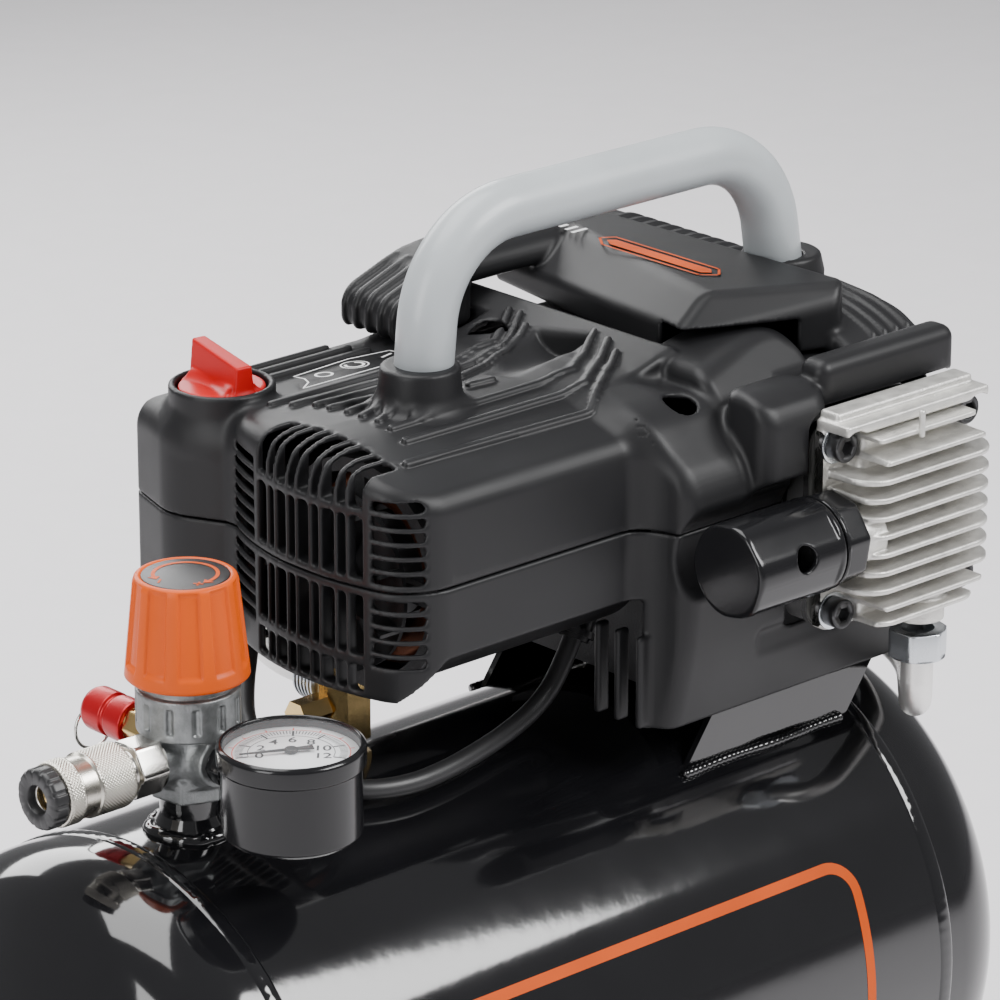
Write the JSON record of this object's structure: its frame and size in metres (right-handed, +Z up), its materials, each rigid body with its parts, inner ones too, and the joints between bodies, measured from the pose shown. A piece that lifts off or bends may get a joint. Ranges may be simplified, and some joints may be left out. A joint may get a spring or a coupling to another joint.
{
  "type": "air compressor",
  "caption": "Portable oil-free air compressor: drum tank on wheels and rubber feet, covered direct-drive piston pump, carry handle, regulator with gauge, quick coupler.",
  "frame": {"origin": "on the floor, at the centre of the bounding box", "axes": "+X from the regulator end to the wheel end, along the tank; +Y away from the cylinder head, to the selector side; +Z up"},
  "size_m": [0.502, 0.26, 0.5585],
  "materials": {
    "tank_paint": "gloss black",
    "handle_paint": "light grey",
    "mount_steel": "satin black",
    "zinc_steel": "zinc plated",
    "shaft_steel": "ground",
    "electrical_steel": "laminated",
    "cover_plastic": "fine texture",
    "red_plastic": "satin",
    "orange_plastic": "satin",
    "black_plastic": "satin",
    "foam": "open foam",
    "foot_rubber": "matt",
    "tyre_rubber": "matt",
    "gasket": "matt",
    "cast_aluminium": "sand cast",
    "cylinder_iron": "machined",
    "bolt_steel": "black oxide",
    "copper": "enamelled wire",
    "brass": "machined",
    "pipe_aluminium": "drawn",
    "zinc_casting": "cast zinc",
    "coupler_steel": "plated",
    "dial_white": "matt",
    "needle_black": "matt",
    "lens": "clear"
  },
  "bodies": {
    "machine": {"tank_shell": "tank_paint", "tank_stub": "tank_paint", "pump_platform": "tank_paint", "axle_bracket": "tank_paint", "foot_bracket": "tank_paint", "handle_tube": "handle_paint", "handle_mounts": "mount_steel", "motor_frame": "mount_steel", "wheel_axle": "zinc_steel", "axle_caps": "zinc_steel", "valve_plate": "zinc_steel", "motor_bearings": "shaft_steel", "stator_core": "electrical_steel", "upper_cover": "cover_plastic", "lower_cover": "cover_plastic", "rear_shroud": "cover_plastic", "pressure_switch": "black_plastic", "start_capacitor": "black_plastic", "filter_base": "black_plastic", "filter_cap": "black_plastic", "coupler_nose": "black_plastic", "gauge_case": "black_plastic", "cable_glands": "black_plastic", "filter_element": "foam", "rubber_feet": "foot_rubber", "motor_cable": "foot_rubber", "head_gasket": "gasket", "crankcase": "cast_aluminium", "crankcase_plate": "cast_aluminium", "cylinder_head": "cast_aluminium", "rear_end_shield": "cast_aluminium", "cylinder_barrel": "cylinder_iron", "head_bolts": "bolt_steel", "stator_windings": "copper", "check_valve": "brass", "drain_valve_body": "brass", "safety_valve_body": "brass", "discharge_nut": "brass", "discharge_pipe": "pipe_aluminium", "regulator_body": "zinc_casting", "coupler_body": "coupler_steel", "gauge_dial": "dial_white", "gauge_lens": "lens"},
    "selector": {"selector_knob": "red_plastic"},
    "adjuster": {"regulator_knob": "orange_plastic"},
    "rotor": {"rotor_core": "electrical_steel", "motor_shaft": "shaft_steel", "cooling_fan": "black_plastic", "crank_web": "zinc_steel"},
    "piston_group": {"piston": "cast_aluminium", "connecting_rod": "cast_aluminium"},
    "front_wheel": {"front_wheel_rim": "black_plastic", "front_wheel_tyre": "tyre_rubber"},
    "rear_wheel": {"rear_wheel_rim": "black_plastic", "rear_wheel_tyre": "tyre_rubber"},
    "drain_wing": {"drain_valve_knob": "black_plastic"},
    "safety_pull": {"safety_valve_cap": "red_plastic"},
    "pull_ring": {"safety_valve_ring": "coupler_steel"},
    "pointer": {"gauge_needle": "needle_black"},
    "release_sleeve": {"coupler_sleeve": "coupler_steel"}
  },
  "joints": [
    {"name": "selector_turn", "type": "hinge", "parent": "machine", "child": "selector", "pos_m": [-0.06, 0.077, 0.461], "axis": [0, 0, 1], "range_deg": [-45, 45]},
    {"name": "pressure_adjust", "type": "hinge", "parent": "machine", "child": "adjuster", "pos_m": [-0.144, 0, 0.395], "axis": [0, 0, 1], "range_deg": [-720, 720]},
    {"name": "motor_spin", "type": "hinge", "parent": "machine", "child": "rotor", "pos_m": [0, -0.01, 0.411], "axis": [1, 0, 0], "continuous": true},
    {"name": "piston_stroke", "type": "slide", "parent": "machine", "child": "piston_group", "axis": [0, 1, 0], "range_m": [-0.009, 0.009]},
    {"name": "front_wheel_roll", "type": "hinge", "parent": "machine", "child": "front_wheel", "pos_m": [0.185, -0.117, 0.06], "axis": [0, 1, 0], "continuous": true},
    {"name": "rear_wheel_roll", "type": "hinge", "parent": "machine", "child": "rear_wheel", "pos_m": [0.185, 0.117, 0.06], "axis": [0, 1, 0], "continuous": true},
    {"name": "drain_turn", "type": "hinge", "parent": "machine", "child": "drain_wing", "pos_m": [0, 0, 0.05], "axis": [0, 0, 1], "range_deg": [0, 720]},
    {"name": "safety_lift", "type": "slide", "parent": "machine", "child": "safety_pull", "axis": [0, 1, 0], "range_m": [0, 0.003], "stiffness_N_per_m": 2000},
    {"name": "ring_swing", "type": "hinge", "parent": "safety_pull", "child": "pull_ring", "pos_m": [-0.144, 0.0623, 0.354], "axis": [1, 0, 0], "range_deg": [-6, 75]},
    {"name": "pressure_reading", "type": "hinge", "parent": "machine", "child": "pointer", "pos_m": [-0.144, -0.064, 0.369], "axis": [0, 0, 1], "range_deg": [-250, 0], "stiffness_Nm_per_rad": 0.0005},
    {"name": "coupler_release", "type": "slide", "parent": "machine", "child": "release_sleeve", "axis": [1, 0, 0], "range_m": [0, 0.0035], "stiffness_N_per_m": 1500}
  ]
}
